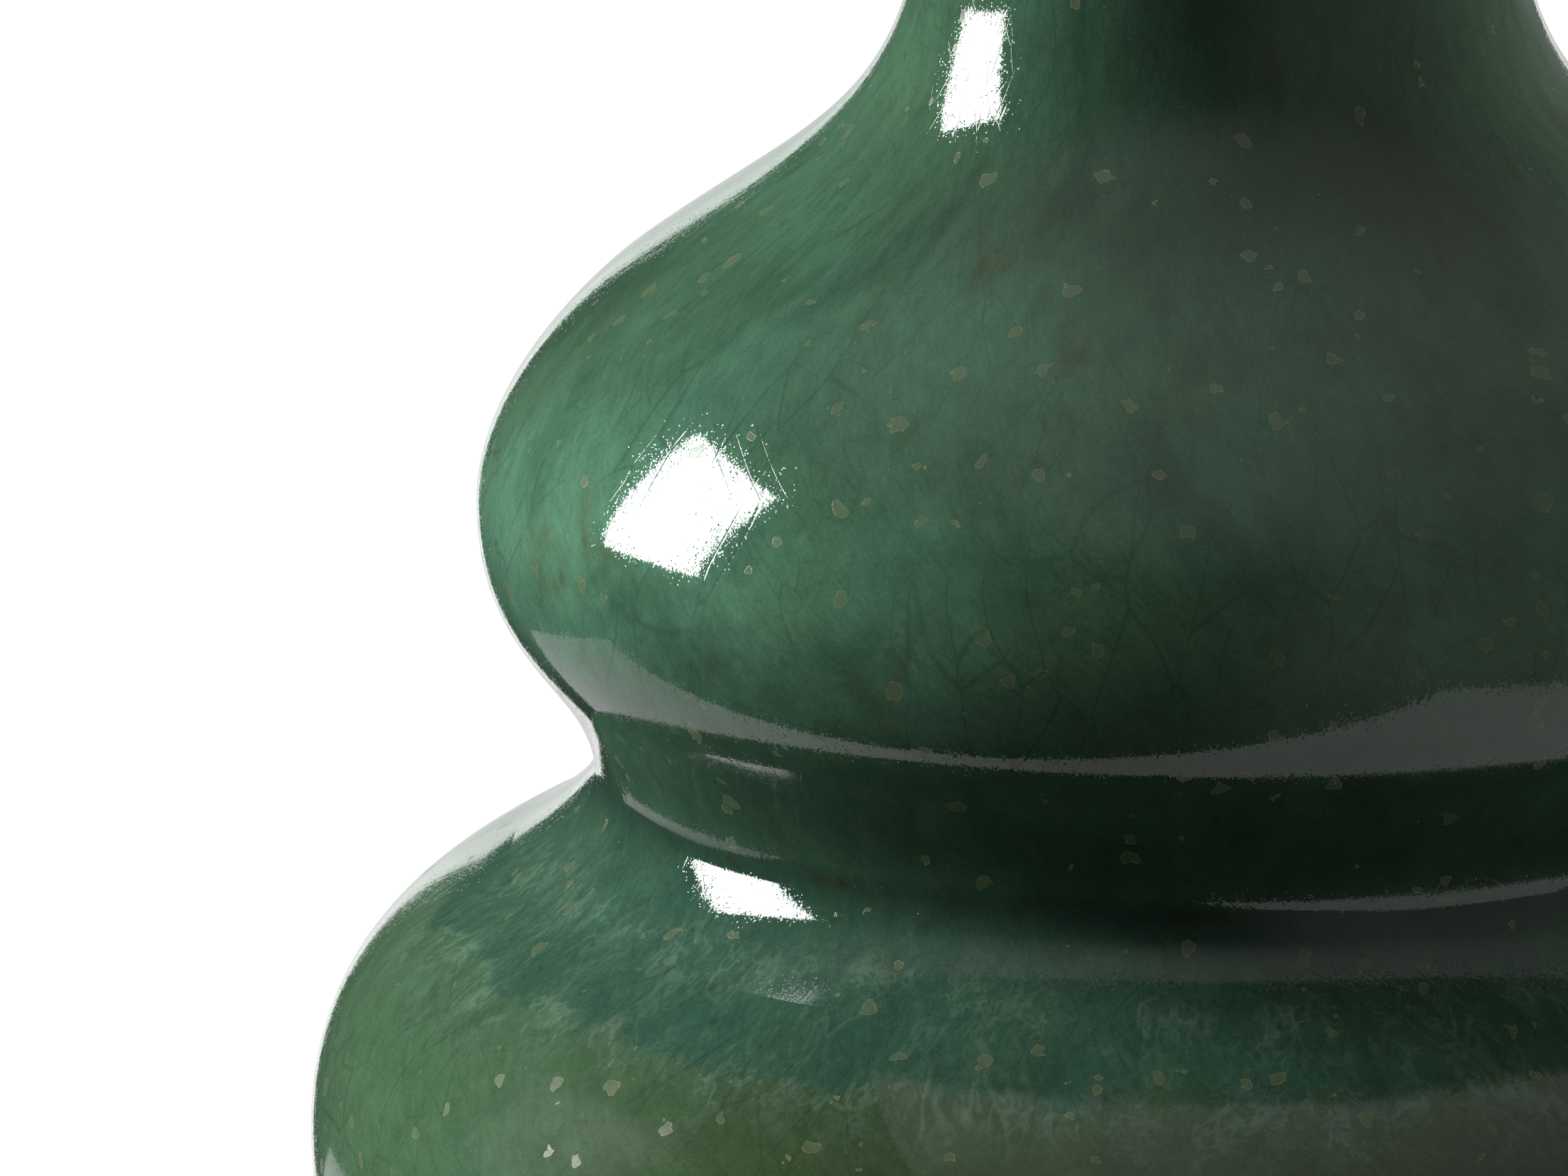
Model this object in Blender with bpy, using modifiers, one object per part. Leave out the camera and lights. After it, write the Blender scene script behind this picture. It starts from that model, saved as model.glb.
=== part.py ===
"""Double-gourd vase in green crackle-glazed stoneware, built the way a large gourd vase is thrown.

The pot is raised in eight thrown bands on a foot ring: lower bowl, lower belly, lower shoulder,
waist shoulder, upper bowl, upper shoulder, neck root and neck. Each rim is finished as a ridge
that fits a groove in the next band's rim and is luted with slip. Where the pot turns in most, at
both bellies, the waist, the neck and the foot, a coil of soft clay is pressed over the seam. A
glaze coat covers the outside from just above the foot, goes over the lip and ends a little way
down inside the neck. A second patch of glaze fills the recess under the base.

Origin: centre of the foot ring's resting face. +Z is up, along the turning axis.
Sizes below are in millimetres and are turned to metres where the meshes are made.
"""

import math

import bpy
from mathutils import Vector

MM = 0.001
TURN_STEPS = 40
LIP_STEPS = 4

# Stations of the glazed outline: radius and height of each turning point.
FOOT_RADIUS, FOOT_HEIGHT = 82.0, 12.0
FLARE_RADIUS, FLARE_HEIGHT = 86.0, 18.0
BELLY_RADIUS, BELLY_HEIGHT = 145.0, 104.0
FILLET_RADIUS, FILLET_HEIGHT = 115.9, 147.0
WAIST_RADIUS, WAIST_HEIGHT = 99.0, 164.6
UPPER_BELLY_RADIUS, UPPER_BELLY_HEIGHT = 117.2, 206.3
BREAK_RADIUS, BREAK_HEIGHT = 94.5, 243.1
THROAT_RADIUS, THROAT_HEIGHT = 46.5, 307.2
LIP_RADIUS, LIP_HEIGHT = 51.0, 334.0

# Slopes from the horizontal where the outline leans, in degrees.
FLARE_SLOPE = 45.0
FILLET_SLOPE = 27.6
WAIST_SLOPE_BELOW, WAIST_SLOPE_ABOVE = 82.0, 102.2
BREAK_SLOPE = 36.5
LIP_SLOPE = 68.0

# Handle lengths, which set how full each curve is.
FLARE_FULLNESS = 32.0
BELLY_FULLNESS_BELOW, BELLY_FULLNESS_ABOVE = 36.0, 25.2
FILLET_FULLNESS_BELOW, FILLET_FULLNESS_ABOVE = 15.5, 5.2
WAIST_FULLNESS_BELOW, WAIST_FULLNESS_ABOVE = 6.5, 17.0
UPPER_BELLY_FULLNESS_BELOW, UPPER_BELLY_FULLNESS_ABOVE = 22.7, 17.1
BREAK_FULLNESS_BELOW, BREAK_FULLNESS_ABOVE = 6.3, 33.7
THROAT_FULLNESS_BELOW, THROAT_FULLNESS_ABOVE = 38.9, 10.0
LIP_FULLNESS = 8.0

CREASE_SETBACK = 1.0
CREASE_FULLNESS = 0.5
FOOT_FULLNESS = 2.8

# Thicknesses.
GLAZE = 0.6
SLIP_GAP = 0.3
COAT = GLAZE + SLIP_GAP
WALL = 6.0
FLOOR_THICKNESS = 9.0
TOE_SETBACK, TOE_RISE = 14.0, 1.2
GLAZE_EDGE_HEIGHT = 4.0
GLAZE_DEPTH_IN_NECK = 46.0

# Where a band ends part of the way along a curve, as a share of that curve.
BOWL_JOINT_SHARE = 0.5
SHOULDER_JOINT_SHARE = 0.5
NECK_JOINT_SHARE = 0.62

# Seams.
RIDGE_HEIGHT = 1.2
COIL_WIDTH = 15.0
COIL_HEIGHT = 3.0

# Foot ring and the glazed patch under the base.
FOOT_WALL = 10.5
FOOT_BEVEL = 1.0
FOOT_TAPER = 1.2
FOOT_COIL = 4.5
BASE_GLAZE_RADIUS = 65.0

CLAY_COLOUR = (0.56, 0.44, 0.32, 1.0)
SLIP_COLOUR = (0.63, 0.52, 0.40, 1.0)
GLAZE_COLOUR = (0.055, 0.20, 0.115, 1.0)
BASE_GLAZE_COLOUR = (0.12, 0.27, 0.18, 1.0)


def material(name, colour, roughness):
    made = bpy.data.materials.new(name)
    made.use_nodes = True
    shader = made.node_tree.nodes["Principled BSDF"]
    shader.inputs["Base Color"].default_value = colour
    shader.inputs["Roughness"].default_value = roughness
    shader.inputs["Metallic"].default_value = 0.0
    made.diffuse_color = colour
    return made


def direction(degrees):
    """A unit step inwards and up at this slope."""
    slope = math.radians(degrees)
    return Vector((-math.cos(slope), math.sin(slope)))


def curve_point(span, share):
    a, b, c, d = span
    rest = 1.0 - share
    return (
        a * rest**3
        + b * (3 * rest**2 * share)
        + c * (3 * rest * share**2)
        + d * share**3
    )


def curve_normal(span, share):
    """Outward normal of a span that runs up the outside."""
    a, b, c, d = span
    rest = 1.0 - share
    along = (
        (b - a) * rest**2 + (c - b) * (2 * rest * share) + (d - c) * share**2
    ).normalized()
    return Vector((along.y, -along.x))


def split(span, share):
    """The two curves that a span becomes when it is cut at this share."""
    a, b, c, d = span
    ab, bc, cd = a.lerp(b, share), b.lerp(c, share), c.lerp(d, share)
    abc, bcd = ab.lerp(bc, share), bc.lerp(cd, share)
    middle = abc.lerp(bcd, share)
    return (a, ab, abc, middle), (middle, bcd, cd, d)


def outline_spans():
    """The glazed outline from the foot to the lip, as named cubic curves that run upwards."""
    up = Vector((0.0, 1.0))
    out_and_up = Vector(
        (math.cos(math.radians(FLARE_SLOPE)), math.sin(math.radians(FLARE_SLOPE)))
    )
    lip_way = Vector(
        (math.cos(math.radians(LIP_SLOPE)), math.sin(math.radians(LIP_SLOPE)))
    )
    foot = Vector((FOOT_RADIUS, FOOT_HEIGHT))
    flare = Vector((FLARE_RADIUS, FLARE_HEIGHT))
    belly = Vector((BELLY_RADIUS, BELLY_HEIGHT))
    waist = Vector((WAIST_RADIUS, WAIST_HEIGHT))
    upper = Vector((UPPER_BELLY_RADIUS, UPPER_BELLY_HEIGHT))
    turn = Vector((BREAK_RADIUS, BREAK_HEIGHT))
    throat = Vector((THROAT_RADIUS, THROAT_HEIGHT))
    lip = Vector((LIP_RADIUS, LIP_HEIGHT))

    fillet = Vector((FILLET_RADIUS, FILLET_HEIGHT))
    into_fillet = direction(FILLET_SLOPE)
    into_waist = direction(WAIST_SLOPE_BELOW)
    out_of_waist = direction(WAIST_SLOPE_ABOVE)
    into_turn = direction(BREAK_SLOPE)
    below_crease = waist - into_waist * CREASE_SETBACK
    above_crease = waist + out_of_waist * CREASE_SETBACK

    foot_flare = (
        foot,
        foot + up * FOOT_FULLNESS,
        flare - out_and_up * FOOT_FULLNESS,
        flare,
    )
    bowl = (
        flare,
        flare + out_and_up * FLARE_FULLNESS,
        belly - up * BELLY_FULLNESS_BELOW,
        belly,
    )
    shoulder = (
        belly,
        belly + up * BELLY_FULLNESS_ABOVE,
        fillet - into_fillet * FILLET_FULLNESS_BELOW,
        fillet,
    )
    waist_fillet = (
        fillet,
        fillet + into_fillet * FILLET_FULLNESS_ABOVE,
        below_crease - into_waist * WAIST_FULLNESS_BELOW,
        below_crease,
    )
    crease = (
        below_crease,
        below_crease + into_waist * CREASE_FULLNESS,
        above_crease - out_of_waist * CREASE_FULLNESS,
        above_crease,
    )
    upper_bowl = (
        above_crease,
        above_crease + out_of_waist * WAIST_FULLNESS_ABOVE,
        upper - up * UPPER_BELLY_FULLNESS_BELOW,
        upper,
    )
    upper_shoulder = (
        upper,
        upper + up * UPPER_BELLY_FULLNESS_ABOVE,
        turn - into_turn * BREAK_FULLNESS_BELOW,
        turn,
    )
    rise = (
        turn,
        turn + into_turn * BREAK_FULLNESS_ABOVE,
        throat - up * THROAT_FULLNESS_BELOW,
        throat,
    )
    mouth = (
        throat,
        throat + up * THROAT_FULLNESS_ABOVE,
        lip - lip_way * LIP_FULLNESS,
        lip,
    )
    bowl, belly_rise = split(bowl, BOWL_JOINT_SHARE)
    belly_turn, shoulder = split(shoulder, SHOULDER_JOINT_SHARE)
    crease_below, crease_above = split(crease, 0.5)
    neck_root, neck = split(rise, NECK_JOINT_SHARE)
    return {
        "foot_flare": foot_flare,
        "bowl": bowl,
        "belly_rise": belly_rise,
        "belly_turn": belly_turn,
        "shoulder": shoulder,
        "waist_fillet": waist_fillet,
        "crease_below": crease_below,
        "crease_above": crease_above,
        "upper_bowl": upper_bowl,
        "upper_shoulder": upper_shoulder,
        "neck_root": neck_root,
        "neck": neck,
        "mouth": mouth,
    }


# How many straight pieces each span is drawn with.
SPAN_STEPS = {
    "foot_flare": 1,
    "bowl": 2,
    "belly_rise": 3,
    "belly_turn": 3,
    "shoulder": 2,
    "waist_fillet": 4,
    "crease_below": 1,
    "crease_above": 1,
    "upper_bowl": 5,
    "upper_shoulder": 3,
    "neck_root": 3,
    "neck": 3,
    "mouth": 2,
}


# The spans that each thrown band between the bowl and the neck follows.
BANDS = {
    "lower_belly": ["belly_rise"],
    "lower_shoulder": ["belly_turn"],
    "waist_shoulder": ["shoulder", "waist_fillet", "crease_below"],
    "upper_bowl": ["crease_above", "upper_bowl"],
    "upper_shoulder": ["upper_shoulder"],
    "neck_root": ["neck_root"],
}

# The spans below and above each seam that has a coil.
SEAM_COILS = {
    "belly_luting_coil": (["belly_rise"], ["belly_turn"]),
    "waist_luting_coil": (["waist_fillet", "crease_below"], ["crease_above", "upper_bowl"]),
    "upper_belly_luting_coil": (["upper_bowl"], ["upper_shoulder"]),
    "neck_luting_coil": (["neck_root"], ["neck"]),
}


def walk(spans, names):
    """(point, normal) pairs along these spans, with a shared end given once."""
    found = []
    for name in names:
        steps = SPAN_STEPS[name]
        first = 1 if found else 0
        for i in range(first, steps + 1):
            share = i / steps
            found.append((curve_point(spans[name], share), curve_normal(spans[name], share)))
    return found


def offset(pairs, depth):
    """The points of a walk moved inwards through the wall."""
    return [point - normal * depth for point, normal in pairs]


def seam_rim(pair, shift):
    """Outer corner, ridge top and inner corner of a luted rim, moved along the wall by shift."""
    point, normal = pair
    along = Vector((-normal.y, normal.x))
    outer = point - normal * COAT
    inner = point - normal * (COAT + WALL)
    ridge = (outer + inner) / 2 + along * RIDGE_HEIGHT
    return [corner + along * shift for corner in (outer, ridge, inner)]


def wall_section(spans, names):
    """Closed profile of one thrown band: down its outside, across, up its inside."""
    pairs = walk(spans, names)
    outer = offset(pairs, COAT)
    inner = offset(pairs, COAT + WALL)
    outer[-1], top_ridge, inner[-1] = seam_rim(pairs[-1], -SLIP_GAP / 2)
    outer[0], bottom_ridge, inner[0] = seam_rim(pairs[0], SLIP_GAP / 2)
    return list(reversed(outer)) + [bottom_ridge] + inner + [top_ridge]


def groove(radius, height):
    """The three points of a ring-shaped V groove in a level face, from its outside inwards."""
    return [
        Vector((radius + RIDGE_HEIGHT * 2, height)),
        Vector((radius, height + RIDGE_HEIGHT)),
        Vector((radius - RIDGE_HEIGHT * 2, height)),
    ]


def bowl_section(spans):
    """Profile of the lower bowl from the axis on its floor, up the inside, down the outside and
    back to the axis underneath."""
    pairs = walk(spans, ["foot_flare", "bowl"])
    half_gap = SLIP_GAP / 2
    underside = FOOT_HEIGHT + half_gap
    floor_top = FOOT_HEIGHT + FLOOR_THICKNESS
    outer = offset(pairs, COAT)
    outer[0] = Vector((FOOT_RADIUS - COAT, underside))
    inner = offset(pairs, COAT + WALL)[SPAN_STEPS["foot_flare"] + 1 :]
    outer[-1], ridge, inner[-1] = seam_rim(pairs[-1], -half_gap)
    toe = Vector((FOOT_RADIUS - TOE_SETBACK, floor_top + TOE_RISE))
    floor_edge = Vector((FOOT_RADIUS - TOE_SETBACK * 2, floor_top))
    inside = [Vector((0.0, floor_top)), floor_edge, toe] + inner + [ridge]
    outside = list(reversed(outer)) + groove(FOOT_RADIUS - FOOT_WALL / 2, underside)
    return inside + outside + [Vector((0.0, underside))]


def foot_section():
    """Closed profile of the foot ring, with a ridge on top that fits the bowl's groove."""
    top = FOOT_HEIGHT - SLIP_GAP / 2
    outer = FOOT_RADIUS - COAT
    inner = FOOT_RADIUS - FOOT_WALL
    return [
        Vector((outer, top)),
        Vector((outer, GLAZE_EDGE_HEIGHT)),
        Vector((outer - FOOT_TAPER, FOOT_BEVEL)),
        Vector((outer - FOOT_TAPER - FOOT_BEVEL, 0.0)),
        Vector((inner + FOOT_TAPER + FOOT_BEVEL, 0.0)),
        Vector((inner + FOOT_TAPER, FOOT_BEVEL)),
        Vector((inner, top)),
    ] + list(reversed(groove(FOOT_RADIUS - FOOT_WALL / 2, top)))


def lip_arc(centre, radius, start):
    """Points of the half circle that goes from the outside of the lip over to its inside."""
    turns = [start + math.pi * i / LIP_STEPS for i in range(1, LIP_STEPS)]
    return [centre + Vector((math.cos(turn), math.sin(turn))) * radius for turn in turns]


def lip_centre(pair):
    """Middle of the rounded clay lip, and the angle its outside starts from."""
    point, normal = pair
    return point - normal * (COAT + WALL / 2), math.atan2(normal.y, normal.x)


def neck_section(spans):
    """Closed profile of the neck: over its rounded lip, down its outside and up its inside."""
    pairs = walk(spans, ["neck", "mouth"])
    outer = offset(pairs, COAT)
    inner = offset(pairs, COAT + WALL)
    outer[0], ridge, inner[0] = seam_rim(pairs[0], SLIP_GAP / 2)
    centre, start = lip_centre(pairs[-1])
    lip = lip_arc(centre, WALL / 2, start)
    return list(reversed(lip)) + list(reversed(outer)) + [ridge] + inner


def glaze_profile(spans):
    """Closed profile of the glaze coat: its face from inside the neck over the lip and down the
    outside to the foot, then its back the same way in reverse."""
    foot_edge = (Vector((FOOT_RADIUS, GLAZE_EDGE_HEIGHT)), Vector((1.0, 0.0)))
    outside = [foot_edge] + walk(spans, list(SPAN_STEPS))
    centre, start = lip_centre(outside[-1])
    lowest = LIP_HEIGHT - GLAZE_DEPTH_IN_NECK
    inside = [pair for pair in walk(spans, ["neck", "mouth"]) if pair[0].y > lowest]
    inside.reverse()
    face = offset(outside, 0.0) + lip_arc(centre, WALL / 2 + COAT, start)
    face += offset(inside, 2 * COAT + WALL)
    back = offset(outside, GLAZE) + lip_arc(centre, WALL / 2 + SLIP_GAP, start)
    back += offset(inside, 2 * COAT + WALL - GLAZE)
    return list(reversed(face)) + back


def coil_seat(pair):
    point, normal = pair
    return point - normal * (COAT + WALL + SLIP_GAP)


def along_wall(pairs, reach):
    """Seats met when walking this far along a wall from its first pair, with the end point last."""
    path = [coil_seat(pairs[0])]
    left = reach
    for pair in pairs[1:]:
        seat = coil_seat(pair)
        length = (seat - path[-1]).length
        if length >= left:
            path.append(path[-1].lerp(seat, left / length))
            return path
        left -= length
        path.append(seat)
    return path


def seam_coil(spans, below, above):
    """Closed profile of the clay coil pressed over a seam on the inside. Its back follows the
    flats of the wall on both sides of the seam."""
    downwards = list(reversed(walk(spans, below)))
    upwards = walk(spans, above)
    seam_normal = upwards[0][1]
    half = COIL_WIDTH / 2
    lower_back = along_wall(downwards, half)
    upper_back = along_wall(upwards, half)
    back = list(reversed(upper_back)) + lower_back[1:]
    crest = [
        along_wall(downwards, half / 2)[-1] - seam_normal * (COIL_HEIGHT * 0.72),
        coil_seat(upwards[0]) - seam_normal * COIL_HEIGHT,
        along_wall(upwards, half / 2)[-1] - seam_normal * (COIL_HEIGHT * 0.72),
    ]
    return back + crest


def foot_coil_profile():
    """Closed profile of the clay fillet in the corner between the foot ring and the base."""
    corner_radius = FOOT_RADIUS - FOOT_WALL - SLIP_GAP
    top = FOOT_HEIGHT - SLIP_GAP / 2
    return [
        Vector((corner_radius, top)),
        Vector((corner_radius, top - FOOT_COIL)),
        Vector((corner_radius - FOOT_COIL * 0.35, top - FOOT_COIL * 0.35)),
        Vector((corner_radius - FOOT_COIL, top)),
    ]


def base_glaze_profile():
    """Profile of the thin glaze disc under the base, from the axis out and back."""
    top = FOOT_HEIGHT - SLIP_GAP / 2
    return [
        Vector((0.0, top)),
        Vector((BASE_GLAZE_RADIUS, top)),
        Vector((BASE_GLAZE_RADIUS - 0.3, top - GLAZE)),
        Vector((0.0, top - GLAZE)),
    ]


def turned(name, points, surface, collection, closed=True):
    """An object turned on the Z axis from a profile in millimetres. A profile that is not closed
    has both ends on the axis."""
    mesh = bpy.data.meshes.new(name)
    vertices = [(point.x * MM, 0.0, point.y * MM) for point in points]
    edges = [(i, i + 1) for i in range(len(points) - 1)]
    if closed:
        edges.append((len(points) - 1, 0))
    mesh.from_pydata(vertices, edges, [])
    mesh.materials.append(surface)
    made = bpy.data.objects.new(name, mesh)
    collection.objects.link(made)
    screw = made.modifiers.new("turn", "SCREW")
    screw.axis = "Z"
    screw.angle = math.radians(360.0)
    screw.steps = TURN_STEPS
    screw.render_steps = TURN_STEPS
    screw.use_merge_vertices = True
    screw.merge_threshold = 0.00001
    screw.use_smooth_shade = True
    return made


def build_vase():
    for existing in list(bpy.data.objects):
        bpy.data.objects.remove(existing)
    collection = bpy.data.collections.new("double_gourd_vase")
    bpy.context.scene.collection.children.link(collection)

    clay = material("fired_clay", CLAY_COLOUR, 0.85)
    slip = material("luting_clay", SLIP_COLOUR, 0.9)
    glaze = material("crackle_glaze", GLAZE_COLOUR, 0.08)
    base_glaze = material("base_glaze", BASE_GLAZE_COLOUR, 0.12)
    spans = outline_spans()

    turned("foot_ring", foot_section(), clay, collection)
    turned("lower_bowl", bowl_section(spans), clay, collection, closed=False)
    for name, span_names in BANDS.items():
        turned(name, wall_section(spans, span_names), clay, collection)
    turned("neck", neck_section(spans), clay, collection)

    turned("foot_luting_coil", foot_coil_profile(), slip, collection)
    for name, (below, above) in SEAM_COILS.items():
        turned(name, seam_coil(spans, below, above), slip, collection)

    turned("glaze_coat", glaze_profile(spans), glaze, collection)
    turned("base_glaze", base_glaze_profile(), base_glaze, collection, closed=False)


build_vase()
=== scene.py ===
# Double-gourd stoneware vase in a green crackle glaze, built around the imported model.
import math

import bmesh
import bpy
from mathutils import Matrix, Vector, noise


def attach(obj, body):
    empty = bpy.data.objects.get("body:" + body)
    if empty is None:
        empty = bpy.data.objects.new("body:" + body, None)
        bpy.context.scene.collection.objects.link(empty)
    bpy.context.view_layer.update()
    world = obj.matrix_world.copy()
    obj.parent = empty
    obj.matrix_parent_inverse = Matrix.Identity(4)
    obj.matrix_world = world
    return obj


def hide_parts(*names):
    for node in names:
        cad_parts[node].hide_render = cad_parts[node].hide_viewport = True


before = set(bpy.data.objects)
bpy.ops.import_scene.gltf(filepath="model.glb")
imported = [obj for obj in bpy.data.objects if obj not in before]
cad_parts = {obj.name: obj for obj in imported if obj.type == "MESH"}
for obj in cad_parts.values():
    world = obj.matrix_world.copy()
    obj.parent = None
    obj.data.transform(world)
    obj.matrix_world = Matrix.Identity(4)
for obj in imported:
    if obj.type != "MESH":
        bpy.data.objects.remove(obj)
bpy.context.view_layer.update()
scene = bpy.context.scene
print("frame loaded:", len(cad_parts), "nodes")

mm = 0.001


def hexColour(text):
    channels = [int(text[i : i + 2], 16) / 255 for i in (1, 3, 5)]
    linear = [c / 12.92 if c <= 0.04045 else ((c + 0.055) / 1.055) ** 2.4 for c in channels]
    return (*linear, 1.0)


def addNode(tree, kind, settings=None, links=None):
    node = tree.nodes.new(kind)
    for name, value in (settings or {}).items():
        if isinstance(name, int) or name in node.inputs:
            node.inputs[name].default_value = value
        else:
            setattr(node, name, value)
    for name, socket in (links or {}).items():
        tree.links.new(socket, node.inputs[name])
    return node


def fillRamp(node, stops):
    ramp = node.color_ramp
    ramp.interpolation = "EASE"
    while len(ramp.elements) > 1:
        ramp.elements.remove(ramp.elements[-1])
    for i, (position, colour) in enumerate(stops):
        stop = ramp.elements[0] if i == 0 else ramp.elements.new(position)
        stop.position = position
        stop.color = colour
    return node.outputs["Color"]


def newMaterial(name):
    made = bpy.data.materials.new(name)
    made.use_nodes = True
    made.node_tree.nodes.clear()
    return made


def millimetreCoordinates(tree):
    # Object coordinates turned to millimetres, so that every pattern scale is 1 / its real size
    coordinates = addNode(tree, "ShaderNodeTexCoord")
    return addNode(
        tree,
        "ShaderNodeVectorMath",
        {"operation": "SCALE", "Scale": 1000.0},
        {0: coordinates.outputs["Object"]},
    ).outputs["Vector"]


def shiftedBy(tree, position, grain, reach, detail=2.0):
    # the same coordinates pushed about by noise, reach millimetres at most each way
    field = addNode(
        tree, "ShaderNodeTexNoise", {"Scale": 1 / grain, "Detail": detail}, {"Vector": position}
    )
    centred = addNode(
        tree,
        "ShaderNodeVectorMath",
        {"operation": "SUBTRACT", 1: (0.5, 0.5, 0.5)},
        {0: field.outputs["Color"]},
    )
    scaled = addNode(
        tree,
        "ShaderNodeVectorMath",
        {"operation": "SCALE", "Scale": 2 * reach},
        {0: centred.outputs["Vector"]},
    )
    return addNode(
        tree,
        "ShaderNodeVectorMath",
        {"operation": "ADD"},
        {0: position, 1: scaled.outputs["Vector"]},
    ).outputs["Vector"]


def noiseField(tree, position, grain, detail=3.0, roughness=0.5, stretch=None):
    if stretch:
        settings = {"vector_type": "POINT", "Scale": stretch}
        mapped = addNode(tree, "ShaderNodeMapping", settings, {"Vector": position})
        position = mapped.outputs["Vector"]
    return addNode(
        tree,
        "ShaderNodeTexNoise",
        {"Scale": 1 / grain, "Detail": detail, "Roughness": roughness},
        {"Vector": position},
    ).outputs["Fac"]


def remap(tree, value, low, high, toLow=0.0, toHigh=1.0, smooth=True):
    return addNode(
        tree,
        "ShaderNodeMapRange",
        {
            "interpolation_type": "SMOOTHSTEP" if smooth else "LINEAR",
            "From Min": low,
            "From Max": high,
            "To Min": toLow,
            "To Max": toHigh,
        },
        {"Value": value},
    ).outputs["Result"]


def combine(tree, operation, first, second):
    settings, links = {"operation": operation}, {0: first}
    if isinstance(second, (int, float)):
        settings[1] = second
    else:
        links[1] = second
    return addNode(tree, "ShaderNodeMath", settings, links).outputs["Value"]


def blendColours(tree, share, first, second):
    settings, links = {"data_type": "RGBA"}, {}
    for socket, value in ((0, share), (6, first), (7, second)):
        if isinstance(value, (int, float, tuple)):
            settings[socket] = value
        else:
            links[socket] = value
    return addNode(tree, "ShaderNodeMix", settings, links).outputs[2]


def layeredBump(tree, layers):
    # bump nodes chained from the coarsest layer to the finest; depth is in millimetres
    normal = None
    for height, depth in layers:
        links = {"Height": height}
        if normal is not None:
            links["Normal"] = normal
        node = addNode(tree, "ShaderNodeBump", {"Strength": 1.0, "Distance": depth * mm}, links)
        normal = node.outputs["Normal"]
    return normal


# Crackle glaze over stoneware: a glassy coat with a fine tooth that makes every highlight end in
# a scatter of sparks. The green is cloudy, darkened by painted shade round the waist and under the
# upper bulb (partly the deeper colour of glaze pooled there), olive and drier below, and it holds
# beige unmelted flecks. Long bowed cracks follow the wall upwards, finer ones lean across them, and
# a bluish pool with a milky, netted edge lies on the lower shoulder.
crackleGlazeValues = {
    "green": "#577F61",
    "paleGreen": "#5F9073",
    "deepGreen": "#42674F",
    "oliveBrown": "#5B6440",
    "lowerGreen": "#567B5B",
    "lowerOlive": "#4D6644",
    "teal": "#456B54",
    "tealBlue": "#3F6753",
    "milky": "#7C9B84",
    "fleck": "#78805F",
    "fleckRim": "#9AA070",
    "dust": "#9DB39C",
    "creaseBrown": "#54482C",
    "lipBrown": "#7C7A52",
    "crackTint": "#2C4A38",
    "ior": 1.5,
    "roughness": 0.035,
    "crackleWidth": 7.5,
    "crackleTall": 3.2,
    "crackleLean": -9.0,
    "crossingWidth": 8.5,
    "crossingTall": 2.6,
    "crossingLean": 52.0,
    "crackWidth": 0.24,
    "crackDepth": 0.008,
    "fleckSpacing": 4.4,
    "fleckRadius": 1.6,
    "dustSpacing": 1.9,
    "dustRadius": 0.2,
    "toothSize": 0.21,
    "toothLevel": 0.007,
    "toothTilt": 0.12,
    "rippleSize": 15.0,
    "rippleDepth": 0.012,
    "poolTop": 163.0,
    "poolBottom": 141.5,
    "patternRadius": 105.0,
    "creaseHeight": 164.3,
    "darkSpot": (2.0, -56.0, 280.0),
    # painted shade by height: darker round the crease and under the upper bulb, partly the deeper
    # colour of glaze pooled at the waist, and darker on the upward-facing upper shoulder
    "shadeAndPoolingByHeight": [
        (122.0, 0.92), (138.0, 0.84), (150.0, 0.92), (157.0, 0.8), (164.0, 0.46), (172.0, 0.37),
        (184.0, 0.46), (199.0, 0.76), (210.0, 1.0), (222.0, 0.88), (238.0, 0.70), (262.0, 0.80),
        (280.0, 1.0),
    ],
    "foamByHeight": [
        (130.0, 0.0), (136.0, 0.35), (141.0, 1.0), (144.5, 0.35), (148.0, 0.5), (151.5, 0.85),
        (155.0, 0.28), (161.0, 0.15), (165.0, 0.0),
    ],
    "foamShare": 0.52,
    "crackShare": 0.36,
    "fleckShare": 0.42,
}


def scaled(tree, vector, amounts):
    return addNode(
        tree, "ShaderNodeVectorMath", {"operation": "MULTIPLY", 1: amounts}, {0: vector}
    ).outputs["Vector"]


def grey(level):
    return (level, level, level, 1.0)


def levelRamp(tree, value, low, high, stops):
    # a curve through (value, level) stops, for values from low to high
    node = addNode(
        tree, "ShaderNodeValToRGB", links={"Fac": remap(tree, value, low, high, smooth=False)}
    )
    places = [((place - low) / (high - low), grey(level)) for place, level in stops]
    return fillRamp(node, places)


def alongTheWall(tree, position, height):
    # every point moved out to one radius, so that a pattern runs up the wall and not across it
    flat = scaled(tree, position, (1.0, 1.0, 0.0))
    outwards = addNode(
        tree, "ShaderNodeVectorMath", {"operation": "NORMALIZE"}, {0: flat}
    ).outputs["Vector"]
    radius = crackleGlazeValues["patternRadius"]
    ring = scaled(tree, outwards, (radius, radius, 0.0))
    rise = addNode(tree, "ShaderNodeCombineXYZ", links={"Z": height}).outputs["Vector"]
    return addNode(
        tree, "ShaderNodeVectorMath", {"operation": "ADD"}, {0: ring, 1: rise}
    ).outputs["Vector"]


def leaning(tree, wall, height, degrees, tall):
    # a wall pattern made to lean off the upright, and stretched along that lean
    twist = math.tan(math.radians(degrees)) / crackleGlazeValues["patternRadius"]
    angle = combine(tree, "MULTIPLY", height, twist)
    turned = addNode(
        tree,
        "ShaderNodeVectorRotate",
        {"rotation_type": "Z_AXIS"},
        {"Vector": wall, "Angle": angle},
    ).outputs["Vector"]
    return scaled(tree, turned, (1.0, 1.0, 1.0 / tall))


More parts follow.
